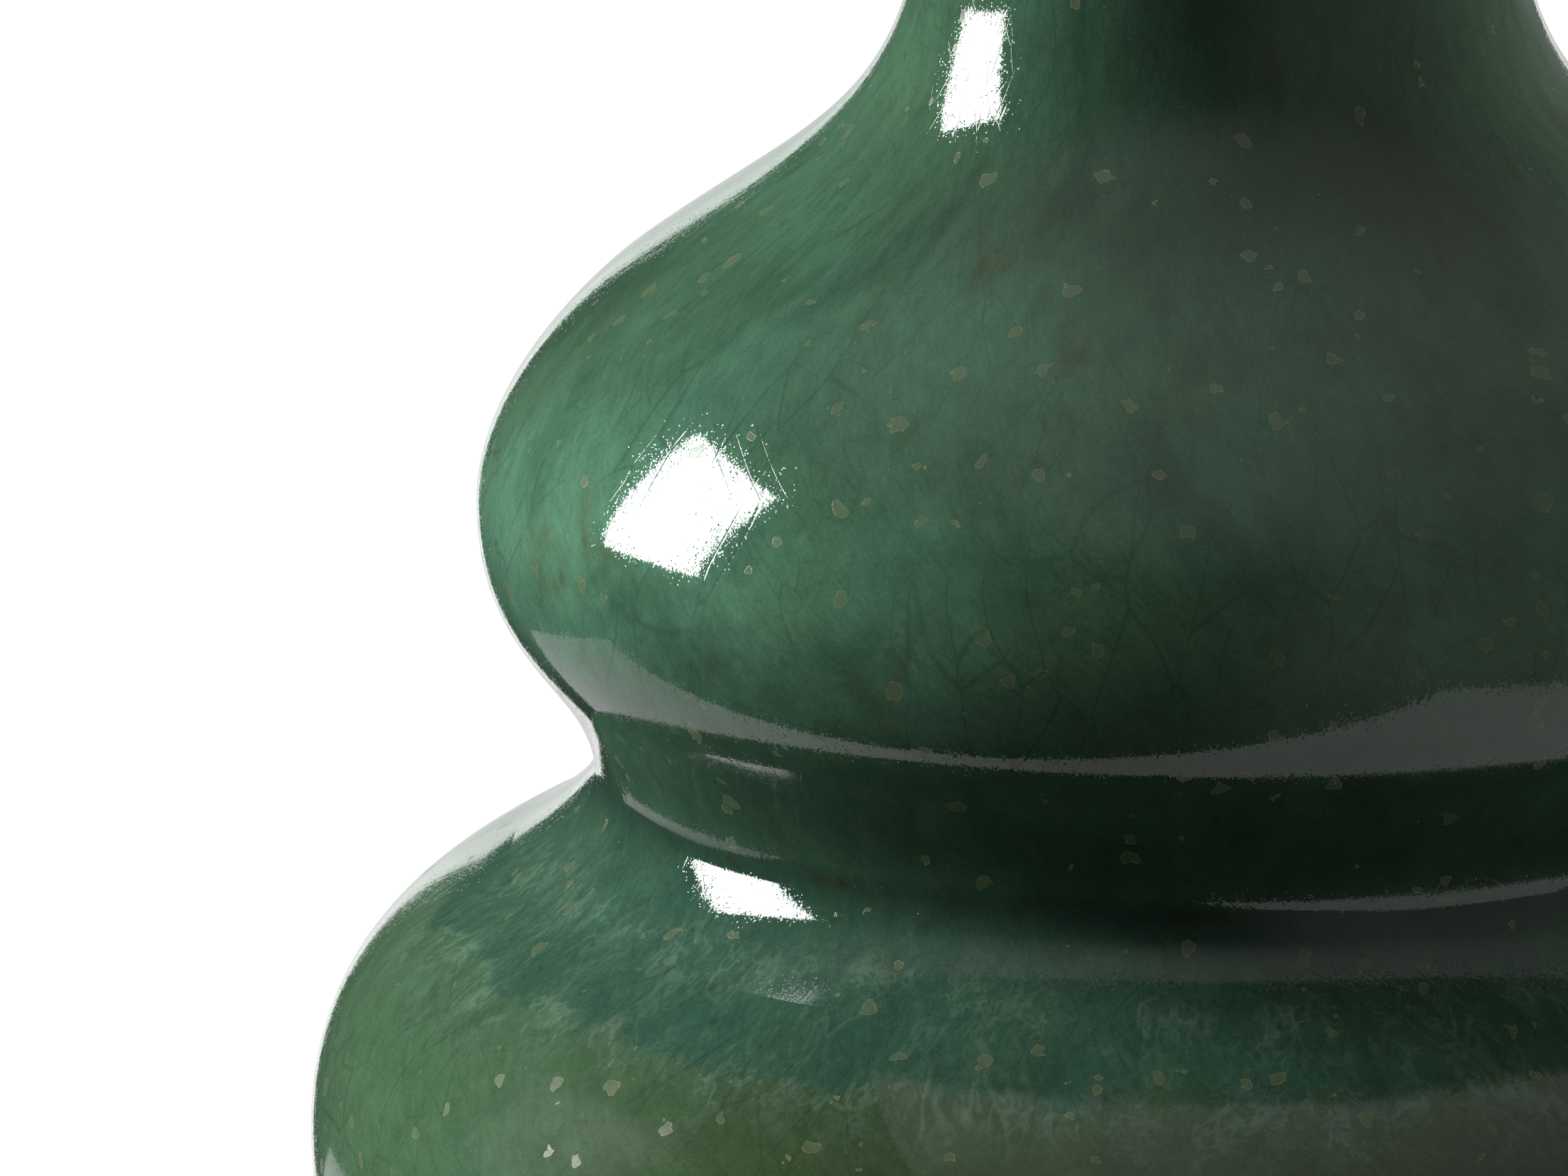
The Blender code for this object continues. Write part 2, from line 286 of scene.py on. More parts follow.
def crackLines(tree, position, size, width):
    # 1 on a crack and 0 away from it
    cells = addNode(
        tree,
        "ShaderNodeTexVoronoi",
        {"feature": "DISTANCE_TO_EDGE", "Scale": 1 / size},
        {"Vector": position},
    )
    return remap(tree, cells.outputs["Distance"], 0.0, width / size, 1.0, 0.0)


def fleckMask(tree, position, spacing, radius, rarest):
    # irregular spots around the feature points whose random value is above rarest
    cells = addNode(
        tree, "ShaderNodeTexVoronoi", {"feature": "F1", "Scale": 1 / spacing}, {"Vector": position}
    )
    chance = addNode(
        tree, "ShaderNodeSeparateColor", links={"Color": cells.outputs["Color"]}
    ).outputs["Red"]
    reach = remap(tree, chance, rarest, 1.0, 0.0, radius / spacing, smooth=False)
    return combine(tree, "SUBTRACT", reach, cells.outputs["Distance"])


def glazeCracks(tree, position, wall, height):
    values = crackleGlazeValues
    bowed = shiftedBy(tree, wall, 34.0, 9.0, 0.0)
    width = values["crackWidth"]
    upright = leaning(tree, bowed, height, values["crackleLean"], values["crackleTall"])
    longCracks = crackLines(tree, upright, values["crackleWidth"], width)
    crossing = leaning(tree, bowed, height, values["crossingLean"], values["crossingTall"])
    fineCracks = crackLines(tree, crossing, values["crossingWidth"], width * 0.75)
    here = remap(tree, noiseField(tree, position, 32.0, 2.0), 0.38, 0.60, 0.15, 1.0)
    there = remap(tree, noiseField(tree, bowed, 24.0, 2.0), 0.42, 0.62)
    longCracks = combine(tree, "MULTIPLY", longCracks, here)
    fineCracks = combine(tree, "MULTIPLY", fineCracks, there)
    return combine(tree, "MAXIMUM", longCracks, combine(tree, "MULTIPLY", fineCracks, 0.75))


def glazeBody(tree, position, wall, height, colours):
    # colour of the coat without its flecks, cracks and dust
    values = crackleGlazeValues
    drifted = shiftedBy(tree, wall, 30.0, 8.0)
    clouds = noiseField(tree, position, 48.0, 4.0, 0.5)
    patches = noiseField(tree, drifted, 27.0, 4.0, 0.55)
    body = blendColours(
        tree, remap(tree, clouds, 0.36, 0.62), colours["paleGreen"], colours["green"]
    )
    body = blendColours(tree, remap(tree, patches, 0.5, 0.74, 0.0, 0.8), body, colours["deepGreen"])
    brownish = remap(tree, noiseField(tree, drifted, 17.0, 3.0), 0.60, 0.78, 0.0, 0.6)
    upperBody = blendColours(tree, brownish, body, colours["oliveBrown"])
    across = addNode(tree, "ShaderNodeSeparateXYZ", links={"Vector": drifted}).outputs["X"]
    oliveShare = combine(
        tree,
        "MULTIPLY",
        remap(tree, across, -100.0, -45.0, 0.25, 1.0),
        remap(tree, patches, 0.30, 0.52, 0.35, 1.0),
    )
    lowerBody = blendColours(tree, oliveShare, colours["lowerGreen"], colours["lowerOlive"])
    pool = blendColours(tree, remap(tree, patches, 0.4, 0.6), colours["teal"], colours["tealBlue"])

    # the pool has a wandering lower edge and stops in the crease
    wander = noiseField(tree, position, 15.0, 4.0, 0.6)
    wandering = combine(tree, "ADD", height, remap(tree, wander, 0.2, 0.8, -4.5, 4.5, False))
    inPool = remap(tree, wandering, values["poolBottom"] - 1.2, values["poolBottom"] + 1.8)
    aboveCrease = remap(tree, height, values["poolTop"] + 0.5, values["poolTop"] + 5.0)
    body = blendColours(tree, inPool, lowerBody, pool)
    body = blendColours(tree, aboveCrease, body, upperBody)

    # milky net along the pool's edge, and again half way up it
    bands = levelRamp(tree, wandering, 128.0, 168.0, values["foamByHeight"])
    frothy = shiftedBy(tree, drifted, 4.0, 6.0)
    net = crackLines(tree, frothy, 3.8, 0.9)
    fineNet = crackLines(tree, shiftedBy(tree, position, 1.8, 2.5), 1.7, 0.6)
    froth = noiseField(tree, frothy, 8.0, 5.0, 0.65)
    foam = combine(tree, "MULTIPLY", net, remap(tree, froth, 0.40, 0.6))
    foam = combine(tree, "ADD", foam, remap(tree, froth, 0.52, 0.75, 0.0, 0.3))
    foam = combine(tree, "ADD", foam, combine(tree, "MULTIPLY", fineNet, 0.25))
    foam = combine(tree, "MULTIPLY", foam, bands)
    foamShare = combine(tree, "MULTIPLY", foam, values["foamShare"])
    body = blendColours(tree, foamShare, body, colours["milky"])

    # thin and brown over the lip, and brown in places along the crease
    lipShare = remap(tree, height, 333.0, 338.5, 0.0, 0.8)
    body = blendColours(tree, lipShare, body, colours["lipBrown"])
    aboveIt = combine(tree, "SUBTRACT", height, values["creaseHeight"])
    offCrease = combine(tree, "ABSOLUTE", aboveIt, 0.0)
    creaseShare = combine(
        tree,
        "MULTIPLY",
        remap(tree, offCrease, 0.3, 1.8, 0.5, 0.0),
        remap(tree, wander, 0.54, 0.68),
    )
    return blendColours(tree, creaseShare, body, colours["creaseBrown"])


def glazeToneAndShade(tree, position, wall, height):
    # painted shade round the waist, in the crease and under the upper bulb, partly the deeper
    # colour
    #     # of glaze pooled there, and on the upward-facing upper shoulder; painted shade towards
    #     the side
    #     # away from the softbox; darker round a spot low on the front of the neck; and mottled
    values = crackleGlazeValues
    # painted shade: darker round the crease, under the upper bulb and on the upper shoulder, partly
    # the deeper colour of glaze pooled at the waist
    shadeAndPooling = levelRamp(tree, height, 120.0, 285.0, values["shadeAndPoolingByHeight"])
    away = addNode(
        tree,
        "ShaderNodeVectorMath",
        {"operation": "DISTANCE", 1: values["darkSpot"]},
        {0: position},
    ).outputs["Value"]
    shadeAndPooling = combine(tree, "MULTIPLY", shadeAndPooling, remap(tree, away, 12.0, 66.0, 0.45, 1.0))
    across = addNode(tree, "ShaderNodeSeparateXYZ", links={"Vector": position}).outputs["X"]
    # painted shade: darker towards the right, the side away from the softbox
    shadeAndPooling = combine(tree, "MULTIPLY", shadeAndPooling, remap(tree, across, -100.0, -35.0, 1.04, 0.86))
    swept = leaning(tree, shiftedBy(tree, wall, 18.0, 3.0), height, 42.0, 3.5)
    streaks = noiseField(tree, swept, 1.2, 4.0, 0.65)
    mottle = noiseField(tree, wall, 5.0, 6.0, 0.72)
    grainy = noiseField(tree, position, 0.6, 2.0, 0.6)
    tone = combine(
        tree,
        "ADD",
        remap(tree, mottle, 0.3, 0.7, -0.17, 0.17, False),
        remap(tree, streaks, 0.3, 0.7, -0.09, 0.09, False),
    )
    tone = combine(tree, "ADD", tone, remap(tree, grainy, 0.25, 0.75, -0.12, 0.12, False))
    return combine(tree, "MULTIPLY", shadeAndPooling, combine(tree, "ADD", tone, 1.0))


def toothedNormal(tree, position, normal):
    # tiny facets, most of them nearly level and a few well tilted
    values = crackleGlazeValues
    cells = addNode(
        tree,
        "ShaderNodeTexVoronoi",
        {"feature": "F1", "Scale": 1 / values["toothSize"]},
        {"Vector": position},
    )
    centred = addNode(
        tree,
        "ShaderNodeVectorMath",
        {"operation": "SUBTRACT", 1: (0.5, 0.5, 0.5)},
        {0: cells.outputs["Color"]},
    ).outputs["Vector"]
    patchy = remap(tree, noiseField(tree, position, 9.0, 3.0), 0.35, 0.7, 0.6, 1.5)
    rarity = addNode(
        tree,
        "ShaderNodeTexWhiteNoise",
        {"noise_dimensions": "3D"},
        {"Vector": cells.outputs["Position"]},
    ).outputs["Value"]
    amount = combine(tree, "MULTIPLY", combine(tree, "POWER", rarity, 4.0), values["toothTilt"])
    amount = combine(tree, "MULTIPLY", combine(tree, "ADD", amount, values["toothLevel"]), patchy)
    tilt = addNode(
        tree, "ShaderNodeVectorMath", {"operation": "SCALE"}, {0: centred, "Scale": amount}
    ).outputs["Vector"]
    leaned = addNode(
        tree, "ShaderNodeVectorMath", {"operation": "ADD"}, {0: normal, 1: tilt}
    ).outputs["Vector"]
    return addNode(
        tree, "ShaderNodeVectorMath", {"operation": "NORMALIZE"}, {0: leaned}
    ).outputs["Vector"]


def crackleGlaze():
    values = crackleGlazeValues
    colours = {name: hexColour(text) for name, text in values.items() if isinstance(text, str)}
    material = newMaterial("crackleGlazeOnStoneware")
    tree = material.node_tree
    position = millimetreCoordinates(tree)
    height = addNode(tree, "ShaderNodeSeparateXYZ", links={"Vector": position}).outputs["Z"]
    wall = alongTheWall(tree, position, height)
    body = glazeBody(tree, position, wall, height, colours)
    # the coat's colour with its random tone and the painted shade
    tonedAndShaded = addNode(
        tree,
        "ShaderNodeHueSaturation",
        links={"Color": body, "Value": glazeToneAndShade(tree, position, wall, height)},
    ).outputs["Color"]

    # unmelted flecks with a yellower rim, and a dust of much smaller ones
    ragged = shiftedBy(tree, position, 2.8, 1.7)
    fleckReach = fleckMask(tree, ragged, values["fleckSpacing"], values["fleckRadius"], 0.68)
    fleckBody = remap(tree, fleckReach, 0.0, 0.012, 0.0, values["fleckShare"])
    fleckRim = combine(
        tree,
        "MULTIPLY",
        remap(tree, fleckReach, 0.0, 0.012),
        remap(tree, fleckReach, 0.02, 0.05, 1.0, 0.0),
    )
    dustReach = fleckMask(tree, position, values["dustSpacing"], values["dustRadius"], 0.35)
    dusty = remap(tree, noiseField(tree, position, 22.0, 3.0), 0.4, 0.7, 0.15, 0.7)
    dust = combine(tree, "MULTIPLY", remap(tree, dustReach, 0.0, 0.03), dusty)
    surface = blendColours(tree, fleckBody, tonedAndShaded, colours["fleck"])
    rimShare = combine(tree, "MULTIPLY", fleckRim, values["fleckShare"])
    surface = blendColours(tree, rimShare, surface, colours["fleckRim"])
    surface = blendColours(tree, dust, surface, colours["dust"])
    cracks = glazeCracks(tree, position, wall, height)
    crackShare = combine(tree, "MULTIPLY", cracks, values["crackShare"])
    surface = blendColours(tree, crackShare, surface, colours["crackTint"])

    # glassy above the pool, drier below it, and matt on the flecks
    dryness = levelRamp(
        tree, height, 120.0, 180.0, [(122.0, 0.02), (140.0, 0.05), (149.0, 0.04), (156.0, 0.0)]
    )
    roughness = combine(tree, "ADD", dryness, values["roughness"])
    roughness = combine(tree, "ADD", roughness, combine(tree, "MULTIPLY", fleckBody, 0.35))

    ripple = noiseField(tree, position, values["rippleSize"], 2.0)
    layers = [(ripple, values["rippleDepth"]), (cracks, -values["crackDepth"]), (fleckRim, 0.005)]
    normal = toothedNormal(tree, position, layeredBump(tree, layers))
    shader = addNode(
        tree,
        "ShaderNodeBsdfPrincipled",
        {"IOR": values["ior"]},
        {"Base Color": surface, "Roughness": roughness, "Normal": normal},
    )
    addNode(tree, "ShaderNodeOutputMaterial", links={"Surface": shader.outputs["BSDF"]})
    return material


# Thin, watery run of the same glaze inside the foot: paler, with the clay showing through.
def poolGlaze():
    material = newMaterial("thinGlazeUnderBase")
    tree = material.node_tree
    position = millimetreCoordinates(tree)
    drifted = shiftedBy(tree, position, 20.0, 5.0)
    clouds = noiseField(tree, drifted, 18.0, 4.0, 0.6)
    body = blendColours(
        tree, remap(tree, clouds, 0.35, 0.7), hexColour("#6F9578"), hexColour("#8A8C66")
    )
    spots = fleckMask(tree, shiftedBy(tree, position, 1.5, 0.6), 5.0, 0.7, 0.6)
    body = blendColours(tree, remap(tree, spots, 0.0, 0.04, 0.0, 0.7), body, hexColour("#5A4A30"))
    cracks = crackLines(tree, drifted, 9.0, 0.25)
    body = blendColours(tree, combine(tree, "MULTIPLY", cracks, 0.5), body, hexColour("#4C4A34"))
    pits = noiseField(tree, position, 1.1, 2.0)
    normal = layeredBump(tree, [(clouds, 0.05), (cracks, -0.02), (pits, 0.006)])
    shader = addNode(
        tree,
        "ShaderNodeBsdfPrincipled",
        {"IOR": 1.5, "Roughness": 0.09},
        {"Base Color": body, "Normal": normal},
    )
    addNode(tree, "ShaderNodeOutputMaterial", links={"Surface": shader.outputs["BSDF"]})
    return material


# Reduction-fired stoneware body: warm buff-grey, dry and slightly toothy, with iron specks and
# the rings that fingers leave while it is thrown.
stonewareValues = {
    "buff": "#B69A78",
    "grey": "#95836C",
    "toast": "#9A6B42",
    "iron": "#4A3322",
    "grit": 0.45,
    "speckSpacing": 3.6,
    "speckRadius": 0.5,
    "ringSpacing": 5.5,
    "ringDepth": 0.35,
    "roughness": 0.86,
}


def bareStoneware(name, tint, ringDepth):
    values = stonewareValues
    material = newMaterial(name)
    tree = material.node_tree
    position = millimetreCoordinates(tree)
    drifted = shiftedBy(tree, position, 14.0, 2.5)
    parts = addNode(tree, "ShaderNodeSeparateXYZ", links={"Vector": position})
    clouds = noiseField(tree, drifted, 16.0, 4.0, 0.6)
    body = blendColours(
        tree, remap(tree, clouds, 0.3, 0.7), hexColour(tint), hexColour(values["grey"])
    )
    toasted = remap(tree, noiseField(tree, position, 30.0, 2.0), 0.5, 0.75, 0.0, 0.45)
    body = blendColours(tree, toasted, body, hexColour(values["toast"]))
    uneven = shiftedBy(tree, position, 1.0, 0.3)
    specks = fleckMask(tree, uneven, values["speckSpacing"], values["speckRadius"], 0.5)
    speckShare = remap(tree, specks, 0.0, 0.05, 0.0, 0.85)
    body = blendColours(tree, speckShare, body, hexColour(values["iron"]))
    grit = noiseField(tree, position, values["grit"], 3.0, 0.7)
    body = blendColours(tree, remap(tree, grit, 0.3, 0.8, 0.0, 0.25), body, hexColour("#6E5B45"))
    rings = addNode(
        tree,
        "ShaderNodeTexWave",
        {
            "wave_type": "BANDS",
            "bands_direction": "Z",
            "Scale": math.tau / 20.0 / values["ringSpacing"],
            "Distortion": 1.2,
            "Detail": 2.0,
            "Detail Scale": 0.4,
        },
        {"Vector": position},
    ).outputs["Fac"]
    fineRings = noiseField(tree, position, 1.2, 2.0, stretch=(0.04, 0.04, 1.0))
    normal = layeredBump(tree, [(rings, ringDepth), (fineRings, 0.08), (grit, 0.07)])
    shader = addNode(
        tree,
        "ShaderNodeBsdfPrincipled",
        {"IOR": 1.45, "Roughness": values["roughness"]},
        {"Base Color": body, "Normal": normal},
    )
    addNode(tree, "ShaderNodeOutputMaterial", links={"Surface": shader.outputs["BSDF"]})
    return material


# The outline of the pot, in millimetres: radius, height, slope anticlockwise from outwards, and
# how far each curve's handle reaches below and above the station.
outlineStations = {
    "foot": {"radius": 82.0, "height": 12.0, "slope": 90.0, "below": 0.0, "above": 2.8},
    "flare": {"radius": 86.0, "height": 18.0, "slope": 45.0, "below": 2.8, "above": 32.0},
    "belly": {"radius": 145.0, "height": 104.0, "slope": 90.0, "below": 36.0, "above": 25.2},
    "fillet": {"radius": 115.9, "height": 147.0, "slope": 152.4, "below": 15.5, "above": 5.2},
    "underCrease": {"radius": 99.14, "height": 163.61, "slope": 98.0, "below": 6.5, "above": 0.5},
    "overCrease": {"radius": 99.21, "height": 165.58, "slope": 77.8, "below": 0.5, "above": 17.0},
    "upperBelly": {"radius": 117.2, "height": 206.3, "slope": 90.0, "below": 22.7, "above": 17.1},
    "break": {"radius": 94.5, "height": 243.1, "slope": 143.5, "below": 6.3, "above": 33.7},
    "throat": {"radius": 46.5, "height": 307.2, "slope": 90.0, "below": 38.9, "above": 10.0},
    "lip": {"radius": 51.0, "height": 334.0, "slope": 68.0, "below": 8.0, "above": 0.0},
}
wallValues = {
    "glaze": 0.6,
    "slipGap": 0.3,
    "wall": 6.0,
    "floor": 9.0,
    "footWall": 10.5,
    "waver": 0.10,
    "waverSize": 38.0,
    "around": 224,
}
coat = wallValues["glaze"] + wallValues["slipGap"]
backOfWall = coat + wallValues["wall"]


def stationPoint(name):
    station = outlineStations[name]
    return Vector((station["radius"], 0.0, station["height"]))


def stationWay(name):
    turn = math.radians(outlineStations[name]["slope"])
    return Vector((math.cos(turn), 0.0, math.sin(turn)))


def curvePairs(lower, upper, spacing, start=0.0, end=1.0):
    # (point, outward normal) pairs up one curve of the outline, between two shares of it
    a, d = stationPoint(lower), stationPoint(upper)
    b = a + stationWay(lower) * outlineStations[lower]["above"]
    c = d - stationWay(upper) * outlineStations[upper]["below"]
    steps = max(3, round((d - a).length * (end - start) / spacing))
    pairs = []
    for i in range(steps + 1):
        t = start + (end - start) * i / steps
        s = 1.0 - t
        point = a * s**3 + b * (3 * s * s * t) + c * (3 * s * t * t) + d * t**3
        along = ((b - a) * s * s + (c - b) * (2 * s * t) + (d - c) * t * t).normalized()
        pairs.append((point, Vector((along.z, 0.0, -along.x))))
    return pairs


def outlinePairs(curves, spacing):
    pairs = []
    for lower, upper, *shares in curves:
        found = curvePairs(lower, upper, spacing, *shares)
        pairs += found[1:] if pairs else found
    return pairs


def inset(pairs, depth):
    return [point - normal * depth for point, normal in pairs]


def arcPoints(centre, radius, start, end, steps):
    turns = [math.radians(start + (end - start) * i / steps) for i in range(steps + 1)]
    return [centre + Vector((math.cos(t), 0.0, math.sin(t))) * radius for t in turns]


def waver(point):
    # the slow, slight unevenness of a hand-turned wall, the same for every piece at one place
    swell = noise.noise(point / wallValues["waverSize"])
    fine = noise.noise(point / (wallValues["waverSize"] * 0.45) + Vector((7.0, 3.0, 5.0)))
    outwards = Vector((point.x, point.y, 0.0))
    if outwards.length < 1.0:
        return Vector((0.0, 0.0, 0.0))
    return outwards.normalized() * (swell + 0.35 * fine) * wallValues["waver"]


def turnedPiece(name, profile, around, closed=True, extra=None):
    # profile points in millimetres, spun a full circle about the pot's axis
    shape = bmesh.new()
    points = [shape.verts.new(point * mm) for point in profile]
    for first, second in zip(points, points[1:]):
        shape.edges.new((first, second))
    if closed:
        shape.edges.new((points[-1], points[0]))
    bmesh.ops.spin(
        shape,
        geom=shape.verts[:] + shape.edges[:],
        cent=(0.0, 0.0, 0.0),
        axis=(0.0, 0.0, 1.0),
        dvec=(0.0, 0.0, 0.0),
        angle=math.tau,
        steps=around,
        use_merge=True,
        use_duplicate=False,
    )
    bmesh.ops.remove_doubles(shape, verts=shape.verts[:], dist=0.00001)
    bmesh.ops.recalc_face_normals(shape, faces=shape.faces[:])
    for vertex in shape.verts:
        point = vertex.co / mm
        shift = waver(point)
        if extra:
            shift += extra(point)
        vertex.co += shift * mm
    for face in shape.faces:
        face.smooth = True
    mesh = bpy.data.meshes.new(name)
    shape.to_mesh(mesh)
    shape.free()
    piece = bpy.data.objects.new(name, mesh)
    scene.collection.objects.link(piece)
    return piece


def finishPiece(piece, node, material):
    piece.data.materials.append(material)
    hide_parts(node)
    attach(piece, "root")
    print("made", piece.name, "with", len(piece.data.polygons), "faces")


glazeCoatValues = {
    "spacing": 1.7,
    "backSpacing": 5.0,
    "footEdge": 4.0,
    "footBead": 0.25,
    "depthInNeck": 46.0,
    "edgeWander": 0.8,
    "runWander": 3.0,
    "turnScale": 2.2,
    "edgeFadeTop": 11.0,
    "edgeFade": 7.0,
    "runFade": 14.0,
    "runRadius": 45.5,
    "lipSteps": 14,
    "lipBackSteps": 8,
}


def glazeEdgeWander(point):
    # the dipped edge above the foot and the run's end inside the neck are never level
    values = glazeCoatValues
    shift = Vector((0.0, 0.0, 0.0))
    turn = math.atan2(point.y, point.x)
    scale, top, fade = values["turnScale"], values["edgeFadeTop"], values["runFade"]
    around = Vector((math.cos(turn) * scale, math.sin(turn) * scale, 0.0))
    if point.z < top:
        shift.z = noise.noise(around) * values["edgeWander"] * (top - point.z) / values["edgeFade"]
    radius = math.hypot(point.x, point.y)
    neckEnd = outlineStations["lip"]["height"] - values["depthInNeck"]
    if radius < values["runRadius"] and point.z < neckEnd + fade:
        share = (neckEnd + fade - point.z) / fade
        shift.z = noise.noise(around * 1.5 + Vector((0.0, 0.0, 9.0))) * values["runWander"] * share
    return shift


def glazeCoat(material):
    values = glazeCoatValues
    names = list(outlineStations)
    curves = list(zip(names, names[1:]))
    outside = outlinePairs(curves, values["spacing"])
    hidden = outlinePairs(curves, values["backSpacing"])
    footRadius = outlineStations["foot"]["radius"]
    edge = values["footEdge"]
    bead = [
        Vector((footRadius - 0.35, 0.0, edge + 0.05)),
        Vector((footRadius - 0.05, 0.0, edge + 0.2)),
        Vector((footRadius + values["footBead"] * 0.8, 0.0, edge + 0.6)),
        Vector((footRadius + values["footBead"], 0.0, edge + 1.3)),
        Vector((footRadius + values["footBead"] * 0.6, 0.0, edge + 2.6)),
        Vector((footRadius + 0.02, 0.0, edge + 4.6)),
    ]
    lipPoint, lipNormal = outside[-1]
    lipCentre = lipPoint - lipNormal * (coat + wallValues["wall"] / 2)
    lipStart = math.degrees(math.atan2(lipNormal.z, lipNormal.x))
    lipOver = wallValues["wall"] / 2 + coat
    neckEnd = outlineStations["lip"]["height"] - values["depthInNeck"]
    neck = [pair for pair in outlinePairs(curves[-2:], values["spacing"]) if pair[0].z > neckEnd]
    neck.reverse()
    faceDepth = backOfWall + coat
    face = bead + inset(outside, 0.0)
    face += arcPoints(lipCentre, lipOver, lipStart, lipStart + 180.0, values["lipSteps"])[1:-1]
    face += inset(neck, faceDepth)
    # the run inside the neck thins out to nothing at its end
    endPoint, endNormal = neck[-1]
    face.append(endPoint - endNormal * (faceDepth - 0.2) - Vector((0.0, 0.0, 1.0)))
    face.append(endPoint - endNormal * (faceDepth - 0.45) - Vector((0.0, 0.0, 1.3)))
    backNeck = neck[::3]
    lipUnder = wallValues["wall"] / 2 + wallValues["slipGap"]
    back = inset(hidden, wallValues["glaze"])
    backSteps = values["lipBackSteps"]
    back += arcPoints(lipCentre, lipUnder, lipStart, lipStart + 180.0, backSteps)[1:-1]
    back += inset(backNeck, faceDepth - wallValues["glaze"])
    footBack = [
        Vector((footRadius - wallValues["glaze"], 0.0, edge + 0.15)),
        Vector((footRadius - wallValues["glaze"], 0.0, edge + 4.0)),
    ]
    profile = list(reversed(face)) + footBack + back
    piece = turnedPiece("glazeCoat", profile, wallValues["around"], extra=glazeEdgeWander)
    finishPiece(piece, "glaze_coat", material)


seamValues = {"ridge": 1.2, "neckSplit": 0.62}


def seamRim(pair, shift):
    # outer corner, ridge top and inner corner of a rim, moved along the wall
    point, normal = pair
    along = Vector((-normal.z, 0.0, normal.x))
    outer, inner = point - normal * coat, point - normal * backOfWall
    ridge = (outer + inner) / 2 + along * seamValues["ridge"]
    return [corner + along * shift for corner in (outer, ridge, inner)]


clayBands = {
    "lowerBelly": ("lower_belly", [("flare", "belly", 0.5, 1.0)]),
    "lowerShoulder": ("lower_shoulder", [("belly", "fillet", 0.0, 0.5)]),
    "waistShoulder": (
        "waist_shoulder",
        [
            ("belly", "fillet", 0.5, 1.0),
            ("fillet", "underCrease"),
            ("underCrease", "overCrease", 0.0, 0.5),
        ],
    ),
    "upperBowl": (
        "upper_bowl",
        [("underCrease", "overCrease", 0.5, 1.0), ("overCrease", "upperBelly")],
    ),
    "upperShoulder": ("upper_shoulder", [("upperBelly", "break")]),
    "neckRoot": ("neck_root", [("break", "throat", 0.0, seamValues["neckSplit"])]),
}
clayValues = {"spacing": 3.0, "around": 160}


def clayBand(name, node, curves, material):
    pairs = outlinePairs(curves, clayValues["spacing"])
    outer, inner = inset(pairs, coat), inset(pairs, backOfWall)
    half = wallValues["slipGap"] / 2
    outer[-1], topRidge, inner[-1] = seamRim(pairs[-1], -half)
    outer[0], lowRidge, inner[0] = seamRim(pairs[0], half)
    profile = list(reversed(outer)) + [lowRidge] + inner + [topRidge]
    finishPiece(
        turnedPiece(name, profile, clayValues["around"]), node, material
    )


def clayNeck(material):
    curves = [("break", "throat", seamValues["neckSplit"], 1.0), ("throat", "lip")]
    pairs = outlinePairs(curves, clayValues["spacing"])
    outer, inner = inset(pairs, coat), inset(pairs, backOfWall)
    outer[0], ridge, inner[0] = seamRim(pairs[0], wallValues["slipGap"] / 2)
    lipPoint, lipNormal = pairs[-1]
    centre = lipPoint - lipNormal * (coat + wallValues["wall"] / 2)
    start = math.degrees(math.atan2(lipNormal.z, lipNormal.x))
    lip = arcPoints(centre, wallValues["wall"] / 2, start, start + 180.0, 10)[1:-1]
    profile = list(reversed(lip)) + list(reversed(outer)) + [ridge] + inner
    piece = turnedPiece("neck", profile, clayValues["around"])
    finishPiece(piece, "neck", material)


def ringGroove(radius, height):
    ridge = seamValues["ridge"]
    return [
        Vector((radius + ridge * 2, 0.0, height)),
        Vector((radius, 0.0, height + ridge)),
        Vector((radius - ridge * 2, 0.0, height)),
    ]


floorValues = {
    "toeSetback": 14.0,
    "toeRise": 1.2,
    "steps": 34,
    "spiralDepth": 0.35,
    "spiralStep": 7.0,
    "spiralFrom": 3.0,
    "spiralTo": 66.0,
}


def floorSpiral(point):
    # the shallow spiral that the thrower's finger leaves as the floor is opened
    values = floorValues
    radius = math.hypot(point.x, point.y)
    floorTop = outlineStations["foot"]["height"] + wallValues["floor"]
    onFloor = values["spiralFrom"] <= radius <= values["spiralTo"]
    if not onFloor or abs(point.z - floorTop) > 1.0:
        return Vector((0.0, 0.0, 0.0))
    turn = math.atan2(point.y, point.x)
    wave = math.sin(math.tau * radius / values["spiralStep"] - turn)
    return Vector((0.0, 0.0, wave * values["spiralDepth"]))


def lowerBowl(material):
    pairs = outlinePairs([("foot", "flare"), ("flare", "belly", 0.0, 0.5)], clayValues["spacing"])
    half = wallValues["slipGap"] / 2
    foot = outlineStations["foot"]
    underside = foot["height"] + half
    floorTop = foot["height"] + wallValues["floor"]
    outer = inset(pairs, coat)
    outer[0] = Vector((foot["radius"] - coat, 0.0, underside))
    inner = [point for point in inset(pairs, backOfWall) if point.z > floorTop + 10.0]
    outer[-1], ridge, inner[-1] = seamRim(pairs[-1], -half)
    setback = floorValues["toeSetback"]
    toeEnd = Vector((foot["radius"] - setback, 0.0, floorTop + floorValues["toeRise"]))
    floorEdge = foot["radius"] - setback * 2
    steps = floorValues["steps"]
    floorLine = [Vector((floorEdge * i / steps, 0.0, floorTop)) for i in range(steps + 1)]
    profile = floorLine + [toeEnd] + inner + [ridge] + list(reversed(outer))
    profile += ringGroove(foot["radius"] - wallValues["footWall"] / 2, underside)
    profile += [Vector((0.0, 0.0, underside))]
    piece = turnedPiece("lowerBowl", profile, clayValues["around"], closed=False, extra=floorSpiral)
    finishPiece(piece, "lower_bowl", material)


footValues = {"taper": 1.2, "bevel": 1.0, "roundness": 5}


